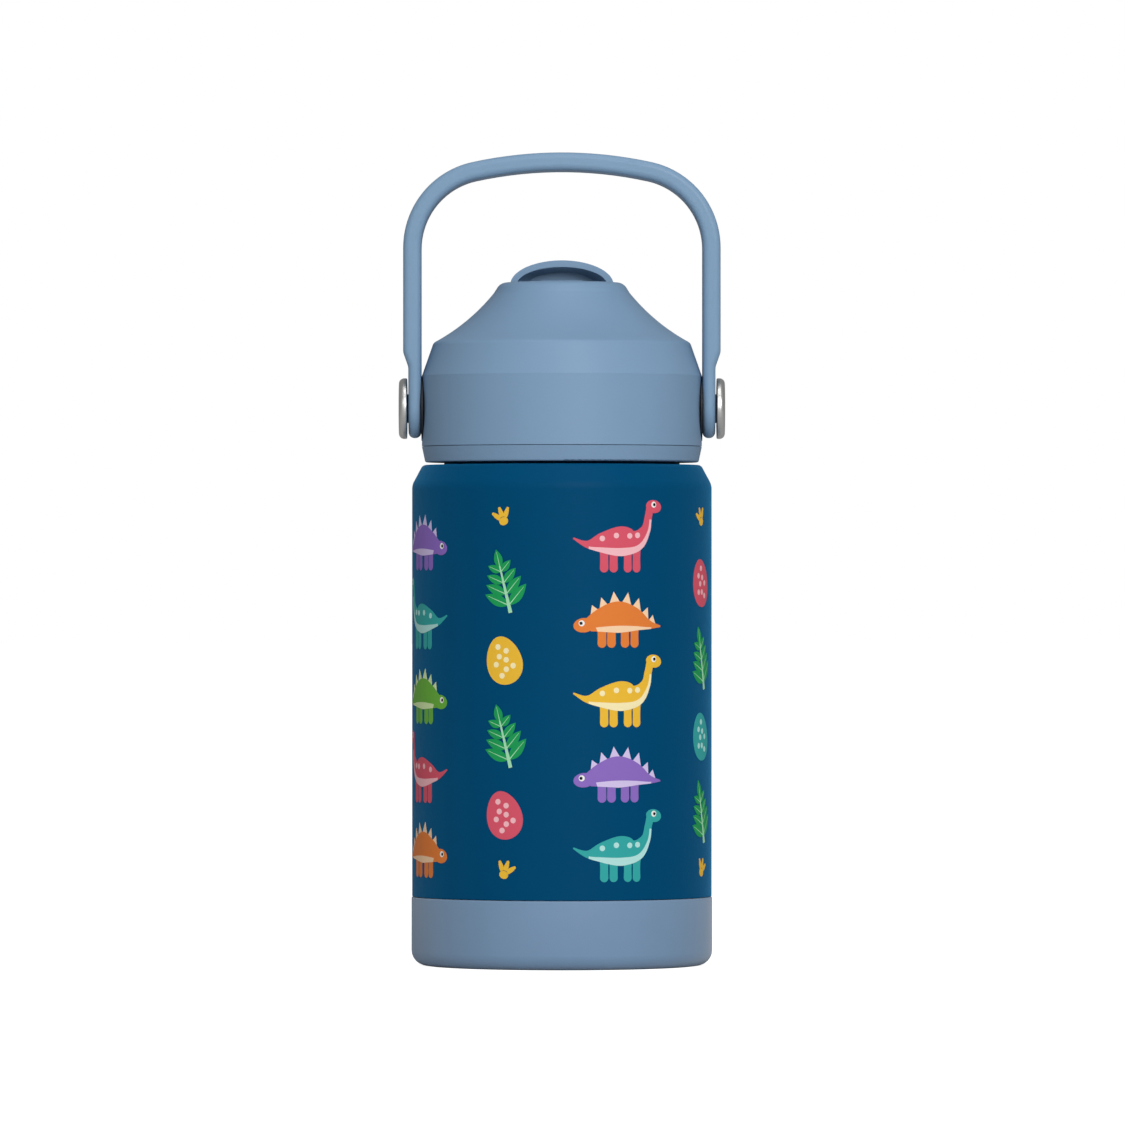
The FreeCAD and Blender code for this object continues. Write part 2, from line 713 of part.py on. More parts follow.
def rod(name, radius, start, length, turn):
    """A cylinder from a start point, turned from +Z by a rotation."""
    item = document.addObject("Part::Cylinder", name)
    item.Placement = FreeCAD.Placement(Vector(0, 0, 0), turn)
    item.setExpression("Radius", bound(radius))
    item.setExpression("Height", bound(length))
    for axis, text in zip("xyz", start):
        item.setExpression(f"Placement.Base.{axis}", bound(text))
    return item


def combine(kind, name, shapes):
    item = document.addObject(f"Part::Multi{kind}", name)
    item.Shapes = shapes
    return item


def subtract(name, base, tool):
    item = document.addObject("Part::Cut", name)
    item.Base = base
    item.Tool = tool
    return item


TO_X = FreeCAD.Rotation(Vector(0, 1, 0), 90)
TO_Y = FreeCAD.Rotation(Vector(1, 0, 0), -90)


def make_mouthpiece_hood():
    dome = ellipsoid("hood_dome", "hood_half", "hood_depth", "hood_rise")
    hollow = ellipsoid("hood_hollow", "hood_half - hood_wall", "hood_depth - hood_wall",
                       "hood_rise - hood_wall")
    keep = block("hood_keep", ("0 - hood_half - 1", "arch_y", "hood_foot"),
                 ("hood_half + 1", "hood_back", "hood_foot + hood_rise + 1"))
    front = block("hood_front", ("0 - hood_half - 1", "arch_y - 1", "hood_foot - 1"),
                  ("hood_half + 1", "hood_back - hood_wall", "hood_foot + hood_rise + 1"))
    room = combine("Common", "hood_room", [hollow, front])
    shell = subtract("hood_shell", combine("Common", "hood_quarter", [dome, keep]), room)
    neck = block("hood_neck", ("0 - hub_half", "socket_y", "flip_z - hub_radius + 0.1"),
                 ("hub_half", "flip_y", "flip_z + hub_radius"))
    hub = rod("hood_hub", "hub_radius", ("0 - hub_half", "flip_y", "flip_z"), "2 * hub_half", TO_X)
    solid = combine("Fuse", "hood_solid", [shell, neck, hub])
    socket = combine("Fuse", "hood_socket", [
        block("socket_block", ("0 - (root_wide - root_high)", "socket_y - 1", "flip_z - root_high"),
              ("root_wide - root_high", "root_end", "flip_z + root_high")),
        rod("socket_left", "root_high", ("0 - (root_wide - root_high)", "socket_y - 1", "flip_z"),
            "root_end - socket_y + 1", TO_Y),
        rod("socket_right", "root_high", ("root_wide - root_high", "socket_y - 1", "flip_z"),
            "root_end - socket_y + 1", TO_Y),
    ])
    bore = rod("hub_bore", "drink_bore", ("0", "socket_y", "flip_z"), "slot_back - socket_y", TO_Y)
    right_hole = rod("right_pin_hole", "hinge_pin_radius", ("hinge_pin_inner", "flip_y", "flip_z"),
                     "hub_half", TO_X)
    left_hole = rod("left_pin_hole", "hinge_pin_radius",
                    ("0 - hinge_pin_inner - hub_half", "flip_y", "flip_z"), "hub_half", TO_X)
    tools = combine("Fuse", "hood_tools", [socket, bore, right_hole, left_hole])
    hood = subtract("mouthpiece_hood", solid, tools)
    hood.Label = "mouthpiece_hood"
    parts.append(hood)


def make_bite_nozzle():
    body = new_body("bite_nozzle")
    tip = stadium(new_sketch(body, "tip", "XZ_Plane", "0 - socket_y + 0.05"), "flip_z",
                  "nozzle_wide", "nozzle_high")
    pad(body, tip, "socket_y - 0.05 - nozzle_tip")
    root = stadium(new_sketch(body, "root", "XZ_Plane", "0 - root_end"), "flip_z", "root_wide",
                   "root_high")
    pad(body, root, "root_end - socket_y + 0.1")
    front = number("nozzle_tip")

    def at_tip(edge, middle):
        return abs(middle.y - front) < 0.01

    fillet(body, line_edges(body, at_tip), "0.9")
    hole = circle(new_sketch(body, "bore", "XZ_Plane"), "0", "flip_z", "drink_bore")
    pocket(body, hole, "40", middle=True)


def make_hinge_pins():
    for label, start in (("right", "hinge_pin_inner"), ("left", "0 - hinge_pin_outer")):
        pin = rod(f"{label}_hinge_pin", "hinge_pin_radius", (start, "flip_y", "flip_z"),
                  "hinge_pin_outer - hinge_pin_inner", TO_X)
        pin.Label = f"{label}_hinge_pin"
        parts.append(pin)


# ---------------------------------------------------------------- assembly and export

make_outer_shell()
make_inner_vessel()
make_outer_base_cap()
make_vacuum_getter()
make_silicone_boot()
make_neck_gasket()
make_threaded_core()
make_lid_shell()
make_straw_stem()
ring_part("stem_seal", "stem_radius + 0.05", "flange_radius - 0.2", "core_roof_high + 0.05",
          "flange_low - 0.05", "flip_y")
ring_part("port_seal", "drink_bore", "port_radius", "port_seat",
          "flip_z - hub_radius - 0.05", "flip_y")
make_vent_valve()
make_drinking_straw()
make_handle_pins()
make_carry_handle()
make_mouthpiece_hood()
make_bite_nozzle()
make_hinge_pins()
document.recompute()

for item in document.Objects:
    if "Invalid" in item.State or "Error" in item.State:
        raise RuntimeError(f"{item.Label} failed: {item.State}")
for part in parts:
    if part.Shape.isNull() or not part.Shape.isValid() or len(part.Shape.Solids) != 1:
        raise RuntimeError(f"{part.Label} is not one valid solid")

os.makedirs("parts", exist_ok=True)
for part in parts:
    part.Shape.exportStep(f"parts/{part.Label}.step")
    box = part.Shape.BoundBox
    print(f"{part.Label:20s} {part.Shape.Volume:10.1f} mm3, z {box.ZMin:.2f} to {box.ZMax:.2f}")
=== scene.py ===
import bmesh
import bpy
import math
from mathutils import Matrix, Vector
from mathutils.geometry import tessellate_polygon


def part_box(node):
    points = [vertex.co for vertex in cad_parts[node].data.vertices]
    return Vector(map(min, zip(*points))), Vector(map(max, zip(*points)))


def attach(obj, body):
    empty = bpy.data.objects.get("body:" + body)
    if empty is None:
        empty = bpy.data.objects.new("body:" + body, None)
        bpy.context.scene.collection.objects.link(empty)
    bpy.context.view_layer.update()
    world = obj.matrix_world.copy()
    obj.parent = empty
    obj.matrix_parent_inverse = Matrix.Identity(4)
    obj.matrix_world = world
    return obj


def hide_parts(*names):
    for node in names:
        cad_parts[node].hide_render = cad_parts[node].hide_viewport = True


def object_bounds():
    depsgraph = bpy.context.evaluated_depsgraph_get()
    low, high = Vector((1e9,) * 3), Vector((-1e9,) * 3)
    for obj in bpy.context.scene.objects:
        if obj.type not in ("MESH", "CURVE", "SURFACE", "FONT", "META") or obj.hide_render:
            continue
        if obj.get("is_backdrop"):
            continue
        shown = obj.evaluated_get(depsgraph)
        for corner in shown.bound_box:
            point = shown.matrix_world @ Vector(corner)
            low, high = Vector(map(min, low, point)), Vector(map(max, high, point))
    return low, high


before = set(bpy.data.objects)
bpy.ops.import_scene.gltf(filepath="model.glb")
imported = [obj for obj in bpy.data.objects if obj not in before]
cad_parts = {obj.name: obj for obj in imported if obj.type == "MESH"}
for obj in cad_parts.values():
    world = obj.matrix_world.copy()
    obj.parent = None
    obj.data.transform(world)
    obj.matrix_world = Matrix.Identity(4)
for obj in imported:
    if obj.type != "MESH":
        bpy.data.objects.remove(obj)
cad_low, cad_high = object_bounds()

MM = 0.001
BODY_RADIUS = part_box("outer_shell")[1].x
RADIUS_MM = BODY_RADIUS / MM


# ------------------------------------------------------------------ materials

def linear(code):
    """Linear colour from a hex code such as 'a0b0c0'."""
    channels = [int(code[i:i + 2], 16) / 255 for i in (0, 2, 4)]
    return [c / 12.92 if c <= 0.04045 else ((c + 0.055) / 1.055) ** 2.4 for c in channels] + [1.0]


class Finish:
    """A node material on one Principled shader, with its textures in object coordinates."""

    def __init__(self, name):
        self.material = bpy.data.materials.new(name)
        self.material.use_nodes = True
        self.nodes = self.material.node_tree.nodes
        self.links = self.material.node_tree.links
        self.shader = self.nodes["Principled BSDF"]
        self.place = self.nodes.new("ShaderNodeTexCoord").outputs["Object"]
        self.height = None

    def set(self, **values):
        for name, value in values.items():
            self.shader.inputs[name.replace("_", " ")].default_value = value

    def stretched(self, scale):
        mapping = self.nodes.new("ShaderNodeMapping")
        mapping.inputs["Scale"].default_value = scale
        self.links.new(self.place, mapping.inputs["Vector"])
        return mapping.outputs["Vector"]

    def noise(self, size, detail=3.0, rough=0.55, stretch=None):
        """Noise whose features are about size metres across."""
        node = self.nodes.new("ShaderNodeTexNoise")
        node.inputs["Scale"].default_value = 1 / size
        node.inputs["Detail"].default_value = detail
        node.inputs["Roughness"].default_value = rough
        source = self.stretched(stretch) if stretch else self.place
        self.links.new(source, node.inputs["Vector"])
        return node.outputs["Fac"]

    def ranged(self, value, low, high, start=0.25, end=0.75):
        node = self.nodes.new("ShaderNodeMapRange")
        for name, amount in (("From Min", start), ("From Max", end), ("To Min", low),
                             ("To Max", high)):
            node.inputs[name].default_value = amount
        self.links.new(value, node.inputs["Value"])
        return node.outputs["Result"]

    def rough(self, low, high, size, **settings):
        value = self.ranged(self.noise(size, **settings), low, high)
        self.links.new(value, self.shader.inputs["Roughness"])

    def bump(self, size, depth, detail=2.0, stretch=None):
        """Adds grain of this size and depth, in metres, to what is there."""
        node = self.nodes.new("ShaderNodeBump")
        node.inputs["Strength"].default_value = 1.0
        node.inputs["Distance"].default_value = depth
        self.links.new(self.noise(size, detail, stretch=stretch), node.inputs["Height"])
        if self.height:
            self.links.new(self.height, node.inputs["Normal"])
        self.height = node.outputs["Normal"]
        self.links.new(self.height, self.shader.inputs["Normal"])

    def paint_recess_shade(self, start, end):
        """Painted shade: turns the base colour darker between two depths along Y, in place of the
        shade deep in a recess.
        """
        split = self.nodes.new("ShaderNodeSeparateXYZ")
        self.links.new(self.place, split.inputs["Vector"])
        tint = self.nodes.new("ShaderNodeMix")
        tint.data_type = "RGBA"
        tint.blend_type = "MULTIPLY"
        tint.inputs["Factor"].default_value = 1.0
        before = self.shader.inputs["Base Color"].links[0].from_socket
        self.links.new(before, tint.inputs["A"])
        shade = self.ranged(split.outputs["Y"], 1.0, 0.80, start, end)
        self.links.new(shade, tint.inputs["B"])
        self.links.new(tint.outputs["Result"], self.shader.inputs["Base Color"])

    def mottled(self, first, second, size, **settings):
        """Base colour that drifts between two close colours."""
        mix = self.nodes.new("ShaderNodeMix")
        mix.data_type = "RGBA"
        mix.inputs["A"].default_value = linear(first)
        mix.inputs["B"].default_value = linear(second)
        self.links.new(self.ranged(self.noise(size, **settings), 0, 1), mix.inputs["Factor"])
        self.links.new(mix.outputs["Result"], self.shader.inputs["Base Color"])


def moulded(name, first, second, rough, grain_depth, painted_shade_depths=None):
    """Soft satin moulded plastic with a fine spark texture. Given a pair of depths along Y, from
    the first to the second it darkens to a painted shade that stands in for the shade deep in a
    recess."""
    finish = Finish(name)
    finish.mottled(first, second, 0.030, detail=4)
    # Painted shade for a recess: the colour darkens with depth along Y.
    if painted_shade_depths:
        finish.paint_recess_shade(*painted_shade_depths)
    finish.rough(rough - 0.04, rough + 0.05, 0.004, detail=4)
    finish.bump(0.00035, grain_depth)
    finish.bump(0.0030, grain_depth * 1.5)
    finish.set(IOR=1.46, Specular_IOR_Level=0.30)
    return finish.material


def silicone(name, first, second, rough, see=0.0):
    """Rubbery matt skin; see is how milky-clear it is."""
    finish = Finish(name)
    finish.mottled(first, second, 0.020, detail=3)
    finish.rough(rough - 0.05, rough + 0.06, 0.003)
    finish.bump(0.00025, 0.000012)
    finish.bump(0.0022, 0.000018)
    finish.set(IOR=1.41, Sheen_Weight=0.30, Sheen_Roughness=0.5, Transmission_Weight=see,
               Subsurface_Weight=0.15 if see else 0.0, Subsurface_Scale=0.002)
    return finish.material


def turned_steel(name, colour, rough, stretch):
    """Steel with fine lathe or brush lines; stretch sets their direction."""
    finish = Finish(name)
    finish.mottled(colour, "c9cac9", 0.0008, stretch=stretch, detail=2)
    finish.rough(rough, rough + 0.14, 0.0006, stretch=stretch)
    finish.bump(0.0004, 0.000006, stretch=stretch)
    finish.set(Metallic=1.0)
    return finish.material


def powder_coat(name, first, second):
    """Navy powder coat: fine orange peel under a satin clear layer."""
    finish = Finish(name)
    finish.mottled(first, second, 0.045, detail=5)
    finish.rough(0.40, 0.50, 0.0025, detail=4)
    finish.bump(0.00040, 0.000020, detail=3)
    finish.bump(0.0016, 0.000030)
    finish.set(IOR=1.5, Specular_IOR_Level=0.03, Sheen_Weight=0.45, Sheen_Roughness=0.5,
               Sheen_Tint=(0.02, 0.36, 0.75, 1.0))
    return finish.material


def ink(name, code):
    """Screen ink: flat colour, slightly glossier than the coat, with a dry grain."""
    finish = Finish(name)
    finish.set(Base_Color=linear(code), IOR=1.5, Specular_IOR_Level=0.08)
    finish.rough(0.42, 0.54, 0.0015, detail=3)
    finish.bump(0.00040, 0.000015, detail=3)
    return finish.material


LID_BLUE = moulded("lid blue", "7d9cba", "7a99b7", 0.46, 0.000010)
HANDLE_BLUE = moulded("handle blue", "7e9dba", "7b9ab7", 0.44, 0.000010)
BOOT_BLUE = silicone("boot blue", "7593b2", "7290af", 0.62)
NAVY = powder_coat("navy coat", "00476f", "00446b")
# Painted shade: the mouthpiece hood's recess darkens with depth along Y, in place of the shade
# there.
HOOD_BLUE_PAINTED_SHADE = moulded("hood blue painted shade", "7d9cba", "7a99b7", 0.46, 0.000010, painted_shade_depths=(0.0, 0.0035))
MILKY = silicone("milky silicone", "e4e8ea", "dadfe2", 0.40, see=0.25)
STRAW = silicone("milky straw", "dfe8f0", "d6e1ea", 0.25, see=0.45)
PIN_STEEL = turned_steel("pin steel", "dcdcd8", 0.30, (1, 1, 9))
FLASK_STEEL = turned_steel("flask steel", "a9abab", 0.30, (0.15, 0.15, 6))
NYLON = moulded("dark nylon", "1c222b", "20262f", 0.55, 0.000012)


# ------------------------------------------------------------------ drawing in two dimensions

def through(points, steps):
    """A smooth line through the points."""
    last = len(points) - 1
    line = []
    for i in range(last):
        a, b, c, d = (points[min(max(i + k, 0), last)] for k in (-1, 0, 1, 2))
        for step in range(steps):
            t = step / steps
            line.append(tuple(
                0.5 * (2 * q + (r - p) * t + (2 * p - 5 * q + 4 * r - s) * t * t
                       + (3 * q - p - 3 * r + s) * t ** 3)
                for p, q, r, s in zip(a, b, c, d)))
    line.append(tuple(points[-1]))
    return line


def turned(points, x, y, turn, scale=1.0):
    """Points turned by some degrees about (0, 0) and moved to (x, y)."""
    c, s = math.cos(math.radians(turn)) * scale, math.sin(math.radians(turn)) * scale
    return [(x + a * c - b * s, y + a * s + b * c) for a, b in points]


class Spine:
    """A tapering line through (x, y, width). Across it 1 is the left edge, -1 the right."""

    def __init__(self, points, steps=8):
        self.line = through(points, steps)
        last = len(self.line) - 1
        self.normals = []
        for i in range(last + 1):
            before, after = self.line[max(i - 1, 0)], self.line[min(i + 1, last)]
            dx, dy = after[0] - before[0], after[1] - before[1]
            size = math.hypot(dx, dy)
            self.normals.append((-dy / size, dx / size))

    def at(self, t, across=0.0, beyond=0.0):
        """The point at t (0 to 1) along the line, beyond the edge by some millimetres."""
        place = t * (len(self.line) - 1)
        i = min(int(place), len(self.line) - 2)
        f = place - i
        x, y, width = (p + (q - p) * f for p, q in zip(self.line[i], self.line[i + 1]))
        nx, ny = (p + (q - p) * f for p, q in zip(self.normals[i], self.normals[i + 1]))
        reach = across * width / 2 + beyond
        return x + nx * reach, y + ny * reach


class Picture:
    """Flat shapes in millimetres, later ones on top of the earlier ones they cross."""

    def __init__(self):
        self.shapes = []

    def add(self, points, triangles, colour):
        """Each shape lies one layer above the highest shape whose box meets its own."""
        xs, ys = [p[0] for p in points], [p[1] for p in points]
        box = (min(xs), max(xs), min(ys), max(ys))
        under = [layer for _, _, _, other, layer in self.shapes
                 if box[0] < other[1] and other[0] < box[1] and box[2] < other[3]
                 and other[2] < box[3]]
        self.shapes.append((points, triangles, colour, box, 1 + max(under, default=-1)))

    def flat(self, points, colour):
        """A shape with straight sides."""
        triangles = tessellate_polygon([[Vector((x, y, 0)) for x, y in points]])
        self.add([tuple(p) for p in points], triangles, colour)

    def oval(self, x, y, wide, tall, colour, turn=0.0):
        ring = [(wide * math.cos(a), tall * math.sin(a))
                for a in (math.tau * k / 20 for k in range(20))]
        self.flat(turned(ring, x, y, turn), colour)

    def strip(self, spine, colour, low=-1.0, high=1.0, start=0.0, end=1.0, steps=44):
        """Part of a spine's width, from edge to edge and from start to end."""
        points, triangles = [], []
        for k in range(steps + 1):
            t = start + (end - start) * k / steps
            points += [spine.at(t, edge) for edge in (low, high)]
        for a in range(0, 2 * steps, 2):
            triangles += [(a, a + 2, a + 3), (a, a + 3, a + 1)]
        self.add(points, triangles, colour)

    def limb(self, points, colour, steps=14):
        """A tapering stroke with a round end."""
        self.strip(Spine(points), colour, steps=steps)
        x, y, width = points[-1]
        if width > 0.3:
            self.oval(x, y, width / 2, width / 2, colour)

    def spikes(self, spine, colour, start, end, count, tall):
        """Plates that stand on the left edge of a spine, tallest in the middle."""
        half = (end - start) / count * 0.46
        for k in range(count):
            t = start + (end - start) * (k + 0.5) / count
            size = tall * (0.55 + 0.45 * math.sin(math.pi * (k + 0.5) / count))
            self.flat([spine.at(t - half, 0.9), spine.at(t + half, 0.9),
                       spine.at(t, 1.0, size)], colour)

    def leaf(self, x, y, length, width, turn, colour, vein):
        """A pointed leaf that grows from (x, y); turn is its direction in degrees."""
        half = [(0, 0), (0.22, 0.38), (0.48, 0.50), (0.76, 0.32), (1, 0)]
        side = through([(a * length, b * width) for a, b in half], 4)
        outline = side + [(a, -b) for a, b in side[-2:0:-1]]
        self.flat(turned(outline, x, y, turn), colour)
        tip = turned([(0.86 * length, 0)], x, y, turn)[0]
        self.limb([(x, y, width * 0.10), (*tip, 0.08)], vein, 3)

    def placed(self, u, v, scale=1.0, flip=False, turn=0.0):
        """The shapes moved to (u, v) on the unrolled body."""
        side = -1 if flip else 1
        for points, triangles, colour, _, layer in self.shapes:
            moved = turned(points, 0, 0, turn, scale)
            yield [(u + side * x, v + y) for x, y in moved], triangles, colour, layer


# ------------------------------------------------------------------ motifs of the printed band
# A plain repeat of this script's own: two toy animals, a sprig and an egg, with footprints.

def eye(picture, x, y):
    picture.oval(x, y, 0.80, 0.80, "white")
    picture.oval(x + 0.18, y, 0.42, 0.42, "black")


def long_neck(main, light):
    """A toy animal with a round back and an upright neck, facing right."""
    picture = Picture()
    for x in (-4.4, -1.8, 2.2, 4.8):
        picture.limb([(x, -1.0, 2.5), (x, -3.6, 2.2), (x, -6.2, 2.3)], main)
    body = Spine([(-12.6, 1.6, 0.4), (-9.0, 0.0, 1.9), (-4.6, 0.4, 5.6), (0.4, 0.8, 7.8),
                  (4.8, 1.0, 5.6), (7.6, 3.8, 3.0), (8.4, 7.0, 2.3), (9.0, 9.4, 2.4)])
    picture.strip(body, main)
    picture.strip(body, light, -1.0, -0.45, 0.16, 0.84)
    picture.oval(10.2, 9.9, 2.5, 1.7, main, -8)
    for k in range(4):
        picture.oval(*body.at(0.28 + 0.11 * k, 0.42), 0.75, 0.75, light)
    eye(picture, 10.2, 10.4)
    return picture


def plated(main, light):
    """A toy animal with a row of plates on its back, facing right."""
    picture = Picture()
    for x in (-4.2, -1.4, 2.4, 5.0):
        picture.limb([(x, -1.4, 2.5), (x, -3.6, 2.3), (x, -5.6, 2.4)], main)
    body = Spine([(-12.4, -1.2, 0.4), (-8.6, -0.8, 2.4), (-4.0, 0.6, 6.4), (0.6, 1.2, 8.2),
                  (5.0, 0.4, 6.4), (8.6, -0.8, 3.6)])
    picture.spikes(body, light, 0.10, 0.92, 7, 2.8)
    picture.strip(body, main)
    picture.strip(body, light, -1.0, -0.55, 0.16, 0.90)
    picture.oval(9.8, -0.9, 2.8, 1.9, main, -6)
    eye(picture, 10.4, -0.4)
    return picture


def sprig(main, light):
    """A stem with four pairs of pointed leaves and one at its tip."""
    picture = Picture()
    for k in range(4):
        for side in (-1, 1):
            picture.leaf(0, 3.0 * k - 6.0, 7.4 - 1.1 * k, 3.0 - 0.3 * k, 90 + 54 * side,
                         main, light)
    picture.leaf(0, 4.0, 5.0, 2.4, 90, main, light)
    picture.limb([(0, -8.0, 1.0), (0, -2.0, 0.7), (0, 4.4, 0.4)], light)
    return picture


def egg(main, light):
    """An egg with dots laid out on a spiral."""
    picture = Picture()
    picture.flat([((5.0 - 0.7 * math.cos(a)) * math.sin(a), 6.4 * math.cos(a))
                  for a in (-math.tau * k / 36 for k in range(36))], main)
    for k in range(8):
        reach, a = math.sqrt((k + 0.4) / 8), 2.4 * k
        picture.oval(3.2 * reach * math.cos(a), 4.4 * reach * math.sin(a), 0.75, 0.75, light)
    return picture


def footprint(main):
    """Three toes and a heel."""
    picture = Picture()
    for turn in (-38, 0, 38):
        toe = turned([(0, 1.2), (0, 2.4), (0, 3.6)], 0, 0, turn)
        picture.limb([(*toe[0], 1.2), (*toe[1], 1.3), (*toe[2], 0.8)], main)
    picture.oval(0, 0, 1.3, 1.1, main)
    return picture


# ------------------------------------------------------------------ the band on the body

PAIRS = {                     # the deep and the light ink of each colour
    "green": ("1f9a55", "a5dfb4"), "lime": ("6cb33f", "d6ecb0"), "yellow": ("eebc3a", "faecb8"),
    "orange": ("e5803a", "f9d2aa"), "rose": ("d9576a", "f5bcc2"), "aqua": ("35a7a4", "b5e4df"),
    "lilac": ("8d6cc0", "d5c6ec"),
}
INKS = {name + tone: ink("ink " + name + tone, code) for name, pair in PAIRS.items()
        for tone, code in zip(("", " light"), pair)}
INKS |= {"white": ink("ink white", "f2f1ec"), "black": ink("ink black", "15161c")}

FIRST_LAYER = 0.045       # mm from the coat to the top of the lowest ink
LAYER = 0.007             # mm that each later shape stands above the ones it covers
STRIP = 1.0               # mm, the widest flat facet round the body


def facets(points, triangles):
    """The shape's faces, cut at upright lines so that they can follow the curve."""
    bm = bmesh.new()
    verts = [bm.verts.new((x, y, 0)) for x, y in points]
    made = set()
    for a, b, c in triangles:
        (ax, ay), (bx, by), (cx, cy) = points[a], points[b], points[c]
        area = (bx - ax) * (cy - ay) - (cx - ax) * (by - ay)
        if abs(area) > 1e-7 and frozenset((a, b, c)) not in made:
            made.add(frozenset((a, b, c)))
            bm.faces.new([verts[i] for i in ((a, b, c) if area > 0 else (a, c, b))])
    bmesh.ops.delete(bm, geom=[v for v in bm.verts if not v.link_faces], context="VERTS")
    low = min(x for x, _ in points)
    high = max(x for x, _ in points)
    for k in range(math.floor(low / STRIP) + 1, math.ceil(high / STRIP)):
        parts = bm.verts[:] + bm.edges[:] + bm.faces[:]
        bmesh.ops.bisect_plane(bm, geom=parts, dist=1e-5, plane_co=(k * STRIP, 0, 0),
                               plane_no=(1, 0, 0))
    bm.verts.index_update()
    flat = [(v.co.x, v.co.y) for v in bm.verts]
    faces = [[v.index for v in f.verts] for f in bm.faces]
    rim = [(l.vert.index, l.link_loop_next.vert.index) for e in bm.edges if e.is_boundary
           for l in e.link_loops]
    bm.free()
    return flat, faces, rim


def on_body(u, v, lift):
    """A point of the unrolled body, in mm, as a point in space, in metres."""
    radius = RADIUS_MM + lift
    angle = u / RADIUS_MM
    return (radius * math.sin(angle) * MM, -radius * math.cos(angle) * MM, v * MM)


def add_piece(name, points, faces, body, materials, slots=None):
    """A new mesh piece that rides on a body."""
    mesh = bpy.data.meshes.new(name)
    mesh.from_pydata(points, [], faces)
    for material in materials:
        mesh.materials.append(material)
    if slots:
        mesh.polygons.foreach_set("material_index", slots)
    mesh.update()
    piece = bpy.data.objects.new(name, mesh)
    bpy.context.scene.collection.objects.link(piece)
    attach(piece, body)
    return piece


def print_piece(name, shapes):
    """Motifs as one piece of thin closed plates of ink that ride on the bottle."""
    points, faces, slots, order = [], [], [], []
    for outline, triangles, colour, layer in shapes:
        if colour not in order:
            order.append(colour)
        flat, plates, rim = facets(outline, triangles)
        top = FIRST_LAYER + LAYER * layer
        start, count = len(points), len(flat)
        points += [on_body(x, y, top) for x, y in flat]
        points += [on_body(x, y, 0.012) for x, y in flat]
        new = [[start + i for i in face] for face in plates]
        new += [[start + count + i for i in reversed(face)] for face in plates]
        new += [[start + b, start + a, start + count + a, start + count + b] for a, b in rim]
        faces += new
        slots += [order.index(colour)] * len(new)
    return add_piece(name, points, faces, "bottle", [INKS[c] for c in order],
                     slots)


# The repeat: columns round the body, every second one half a row higher, so that each
# motif has other kinds beside it. Footprints fill the ends of the higher columns.
COLUMNS = 8
COLUMN_PITCH = math.tau * RADIUS_MM / COLUMNS
ROW_PITCH = 18.6
LOWEST = 28.0
KINDS = [(long_neck, ("aqua", "rose", "yellow")), (sprig, ("green", "lime")),
         (plated, ("orange", "lilac", "lime")), (egg, ("rose", "aqua", "yellow"))]

for column in range(COLUMNS):
    high = column % 2
    u = (column + 0.5) * COLUMN_PITCH
    shapes = []
    for row in range(5 - high):
        motif, colours = KINDS[(column + 2 * row) % len(KINDS)]
        colour = colours[(column // 2 + row) % len(colours)]
        tilt = 0 if motif in (long_neck, plated) else 14 - 28 * (row % 2)
        v = LOWEST + ROW_PITCH * (row + high / 2)
        shapes += motif(colour, colour + " light").placed(u, v, 0.92, row % 2 == 1, tilt)
    if high:
        for v, tilt in ((LOWEST - 5.0, -20), (LOWEST + 4.3 * ROW_PITCH, 20)):
            shapes += footprint("yellow").placed(u, v, 0.9, False, tilt)
    print_piece(f"print_column_{column + 1}", shapes)


# ------------------------------------------------------------------ soft pieces

def rounded(points, radii, steps=6):
    """The corners of a closed profile, each rounded by its radius (0 keeps it sharp)."""
    line = []
    for i, (corner, radius) in enumerate(zip(points, radii)):
        here = Vector(corner)
        if not radius:
            line.append(here)
            continue
        before = (Vector(points[i - 1]) - here).normalized()
        after = (Vector(points[(i + 1) % len(points)]) - here).normalized()
        half = before.angle(after) / 2
        reach = radius / math.tan(half)
        centre = here + (before + after).normalized() * radius / math.sin(half)
        first = here + before * reach - centre
        last = here + after * reach - centre
        begin = math.atan2(first.y, first.x)
        sweep = (math.atan2(last.y, last.x) - begin + math.pi) % math.tau - math.pi
        for k in range(steps + 1):
            a = begin + sweep * k / steps
            line.append(centre + radius * Vector((math.cos(a), math.sin(a))))
    return line


def lathe(name, profile, body, material, node, around=160):
    """A closed profile of (radius, height) in mm turned about the bottle's axis."""
    points, faces = [], []
    for k in range(around):
        c, s = math.cos(math.tau * k / around), math.sin(math.tau * k / around)
        points += [(r * c * MM, r * s * MM, z * MM) for r, z in profile]
    size = len(profile)
    for k in range(around):
        for i in range(size):
            a, b = k * size, (k + 1) % around * size
            j = (i + 1) % size
            faces.append((a + i, b + i, b + j, a + j))
    piece = add_piece(name, points, faces, body, [material])
    smooth(piece, 28)
    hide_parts(node)
    return piece


def smooth(piece, angle):
    piece.data.shade_smooth()
    piece.data.set_sharp_from_angle(angle=math.radians(angle))


def grooved(start, end, height, count, deep, wide):
    """Points of an underside from the radius start to end, with ring grooves in it."""
    line = []
    for k in range(count):
        middle = start + (end - start) * (k + 0.5) / count
        side = wide / 2 if end > start else -wide / 2
        line += [(middle - side, height), (middle - side * 0.5, height + deep),
                 (middle + side * 0.5, height + deep), (middle + side, height)]
    return line


boot_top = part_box("silicone_boot")[1]
boot_out = boot_top.x / MM
boot_high = boot_top.z / MM
boot_profile = [(boot_out - 1.65, boot_high), (boot_out - 1.65, 3.2), (boot_out - 2.85, 2.0),
                (0.4, 2.0), (0.4, 0.5), (22.6, 0.5), (23.6, 0.0)]
boot_radii = [0.2, 0, 0, 0, 0, 0, 0]
treads = grooved(24.6, 32.4, 0.0, 4, 0.3, 0.7)
boot_profile += treads + [(boot_out, 0.0), (boot_out, boot_high)]
boot_radii += [0] * len(treads) + [3.7, 0.45]
lathe("soft_boot", rounded(boot_profile, boot_radii), "bottle", BOOT_BLUE,
      "silicone_boot")

